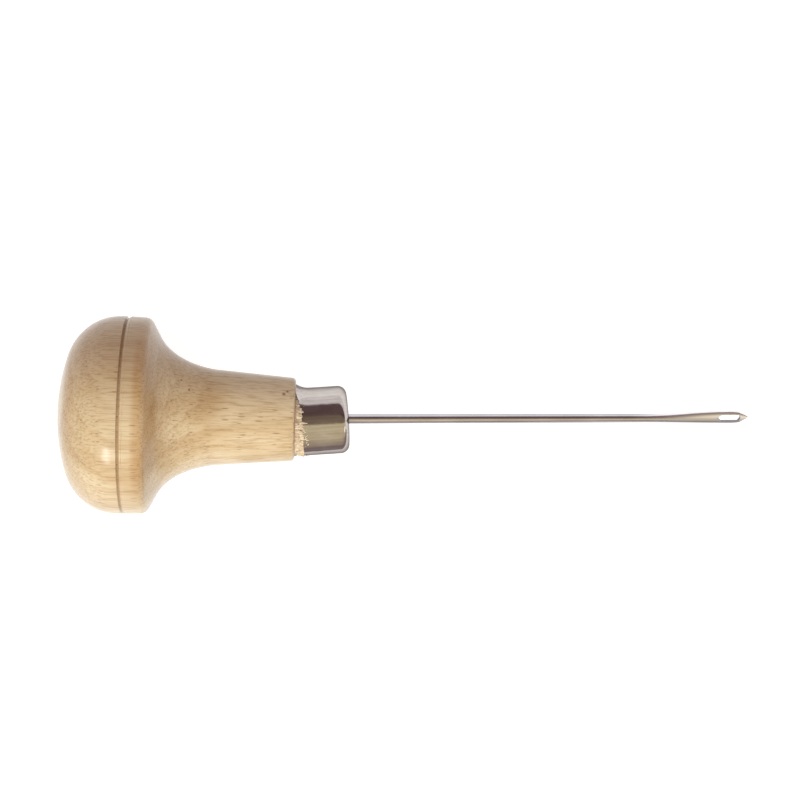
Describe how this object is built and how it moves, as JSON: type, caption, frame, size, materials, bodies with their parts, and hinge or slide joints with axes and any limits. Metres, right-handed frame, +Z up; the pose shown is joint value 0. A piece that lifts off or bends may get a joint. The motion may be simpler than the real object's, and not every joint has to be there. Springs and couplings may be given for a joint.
{
  "type": "eyed stitching awl",
  "caption": "Hand awl with a domed wooden palm handle, a closed metal ferrule and a long slim blade with a thread eye behind its flattened point.",
  "frame": {"origin": "middle of the awl's bounding box, at the table that it lies on", "axes": "+X from the palm end to the point, +Z up; the awl lies on the rim of its handle and on its point, as put down on a table, so its own axis slopes about 9 degrees down towards +X, and the thread eye runs nearly along Z"},
  "size_m": [0.1398, 0.04, 0.0403],
  "materials": {
    "handle_wood": "clear gloss lacquer over pale beech-like wood",
    "ferrule_metal": "bright nickel plate, drawn, finely scuffed",
    "blade_steel": "polished spring steel"
  },
  "bodies": {
    "root": {"palm_handle": "handle_wood", "ferrule": "ferrule_metal", "eyed_blade": "blade_steel"}
  },
  "joints": []
}
